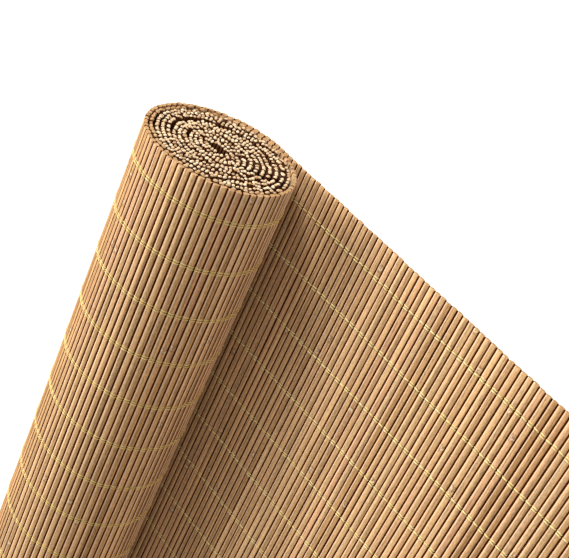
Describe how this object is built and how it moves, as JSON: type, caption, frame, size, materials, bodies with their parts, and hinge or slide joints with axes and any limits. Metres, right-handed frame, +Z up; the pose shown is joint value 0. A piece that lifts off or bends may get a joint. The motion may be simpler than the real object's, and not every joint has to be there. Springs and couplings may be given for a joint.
{
  "type": "bamboo roll-up shade",
  "caption": "Bamboo slat mat hung from a wooden headrail and rolled up from below, lifted by cords that pass under the roll and over pulleys on two hangers.",
  "frame": {"origin": "midway between the two hanging eyes, at the middle of the plates' thickness", "axes": "+Z up, +X along the headrail to the right seen from the front, +Y back to the wall"},
  "size_m": [1.2, 0.099, 1.1531],
  "materials": {
    "bamboo": "matt varnished bamboo",
    "pine": "bare planed softwood",
    "black_plate": "black satin paint",
    "grey_metal": "dull zinc",
    "screw_metal": "black oxide",
    "sheave_plastic": "moulded grey plastic",
    "cord": "braided brown cord"
  },
  "bodies": {
    "headrail": {"mat_panel": "bamboo", "headrail": "pine", "bracket_left": "black_plate", "bracket_right": "black_plate", "eyelet_left": "grey_metal", "eyelet_right": "grey_metal", "sheave_pin_left": "grey_metal", "sheave_pin_right": "grey_metal", "bracket_screws_left": "screw_metal", "bracket_screws_right": "screw_metal", "cord_crossing": "cord", "cord_tail": "cord", "cord_ties": "cord", "cord_left_front": "cord", "cord_left_back": "cord", "cord_pull_front": "cord", "cord_pull_back": "cord", "cord_right_front": "cord", "cord_right_back": "cord"},
    "roll_cords": {"cord_bights": "cord"},
    "roll": {"mat_roll": "bamboo"},
    "sheave_left": {"sheave_left": "sheave_plastic"},
    "sheave_pull": {"sheave_pull": "sheave_plastic"},
    "sheave_right": {"sheave_right": "sheave_plastic"}
  },
  "joints": [
    {"name": "roll_lift", "type": "slide", "parent": "headrail", "child": "roll_cords", "axis": [0, 0, 1], "range_m": [0, 0.7964], "deforming": ["mat_panel", "cord_left_front", "cord_left_back", "cord_pull_front", "cord_pull_back", "cord_right_front", "cord_right_back"]},
    {"name": "roll_turn", "type": "hinge", "parent": "roll_cords", "child": "roll", "pos_m": [0, -0.03666, -1.097], "axis": [1, 0, 0], "range_deg": [-1081, 0]},
    {"name": "sheave_left_turn", "type": "hinge", "parent": "headrail", "child": "sheave_left", "pos_m": [-0.28, -0.016, -0.04], "axis": [1, 0, 0], "continuous": true},
    {"name": "sheave_pull_turn", "type": "hinge", "parent": "headrail", "child": "sheave_pull", "pos_m": [0.27685, -0.016, -0.04], "axis": [1, 0, 0], "continuous": true},
    {"name": "sheave_right_turn", "type": "hinge", "parent": "headrail", "child": "sheave_right", "pos_m": [0.28315, -0.016, -0.04], "axis": [1, 0, 0], "continuous": true}
  ],
  "couplings": [
    {"joint": "roll_turn", "follows": "roll_lift", "rad_per_m": -23.669}
  ]
}
